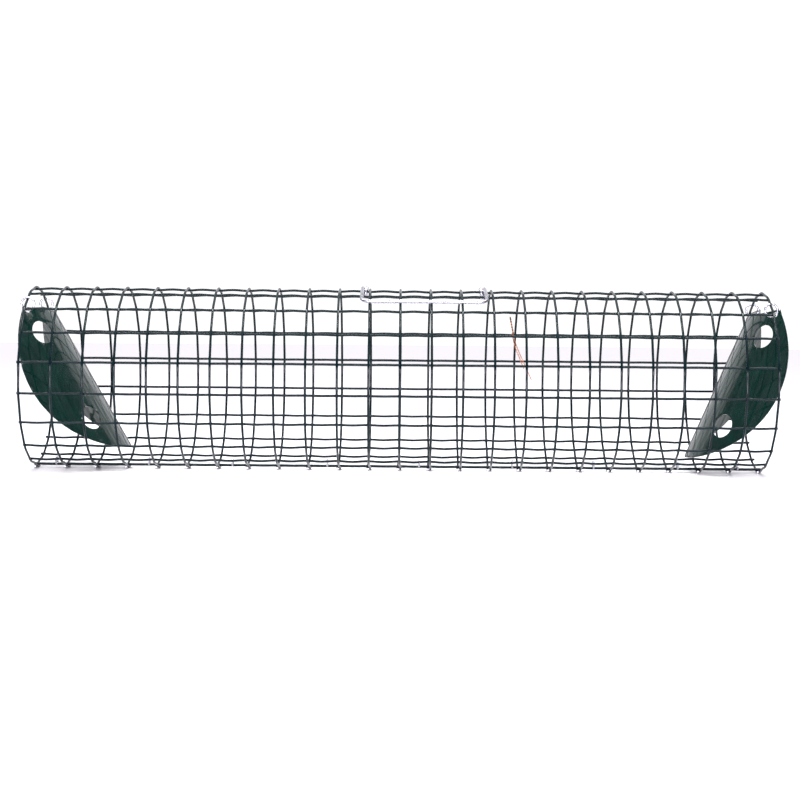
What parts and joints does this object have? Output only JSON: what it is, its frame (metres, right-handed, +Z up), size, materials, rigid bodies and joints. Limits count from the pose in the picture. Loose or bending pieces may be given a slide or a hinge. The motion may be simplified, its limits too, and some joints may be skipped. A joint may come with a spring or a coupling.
{
  "type": "live catch trap",
  "caption": "Welded-mesh tunnel trap on its side with a one-way hinged flap door in each end and a folding wire bail handle.",
  "frame": {"origin": "middle of the underside of the whole trap, where it stands on its hoops' feet", "axes": "+X along the tunnel towards the right-hand door, -Y the side the handle rests on, +Z up"},
  "size_m": [0.6248, 0.1476, 0.1532],
  "materials": {
    "green_wire": "gloss",
    "green_sheet": "gloss",
    "galvanised_wire": "satin",
    "bait_copper": "satin"
  },
  "bodies": {
    "cage": {"hoop_01": "green_wire", "hoop_02": "green_wire", "hoop_03": "green_wire", "hoop_04": "green_wire", "hoop_05": "green_wire", "hoop_06": "green_wire", "hoop_07": "green_wire", "hoop_08": "green_wire", "hoop_09": "green_wire", "hoop_10": "green_wire", "hoop_11": "green_wire", "hoop_12": "green_wire", "hoop_13": "green_wire", "hoop_14": "green_wire", "hoop_15": "green_wire", "hoop_16": "green_wire", "hoop_17": "green_wire", "hoop_18": "green_wire", "hoop_19": "green_wire", "hoop_20": "green_wire", "hoop_21": "green_wire", "hoop_22": "green_wire", "hoop_23": "green_wire", "hoop_24": "green_wire", "hoop_25": "green_wire", "line_wire_01": "green_wire", "line_wire_02": "green_wire", "line_wire_03": "green_wire", "line_wire_04": "green_wire", "line_wire_05": "green_wire", "line_wire_06": "green_wire", "line_wire_07": "green_wire", "line_wire_08": "green_wire", "line_wire_09": "green_wire", "line_wire_10": "green_wire", "line_wire_11": "green_wire", "line_wire_12": "green_wire", "line_wire_13": "green_wire", "line_wire_14": "green_wire", "line_wire_15": "green_wire", "line_wire_16": "green_wire", "line_wire_17": "green_wire", "line_wire_18": "green_wire", "line_wire_19": "green_wire", "seam_clip_1": "galvanised_wire", "seam_clip_2": "galvanised_wire", "seam_clip_3": "galvanised_wire", "seam_clip_4": "galvanised_wire", "seam_clip_5": "galvanised_wire", "seam_clip_6": "galvanised_wire", "seam_clip_7": "galvanised_wire", "seam_clip_8": "galvanised_wire", "bait_wire": "bait_copper"},
    "left_rings": {"left_front_hinge_ring": "galvanised_wire", "left_back_hinge_ring": "galvanised_wire"},
    "left_door": {"left_door": "green_sheet"},
    "right_rings": {"right_front_hinge_ring": "galvanised_wire", "right_back_hinge_ring": "galvanised_wire"},
    "right_door": {"right_door": "green_sheet"},
    "handle": {"carry_handle": "galvanised_wire"}
  },
  "joints": [
    {"name": "left_ring_swing", "type": "hinge", "parent": "cage", "child": "left_rings", "pos_m": [-0.30651, 0, 0.13915], "axis": [0, -1, 0], "range_deg": [0, 6]},
    {"name": "left_door_swing", "type": "hinge", "parent": "left_rings", "child": "left_door", "pos_m": [-0.30596, 0, 0.13602], "axis": [0, -1, 0], "range_deg": [0, 50]},
    {"name": "right_ring_swing", "type": "hinge", "parent": "cage", "child": "right_rings", "pos_m": [0.30309, 0, 0.13915], "axis": [0, 1, 0], "range_deg": [0, 6]},
    {"name": "right_door_swing", "type": "hinge", "parent": "right_rings", "child": "right_door", "pos_m": [0.30326, 0, 0.13598], "axis": [0, 1, 0], "range_deg": [0, 56]},
    {"name": "handle_swing", "type": "hinge", "parent": "cage", "child": "handle", "pos_m": [0.01773, 0, 0.14787], "axis": [-1, 0, 0], "range_deg": [0, 184]}
  ]
}
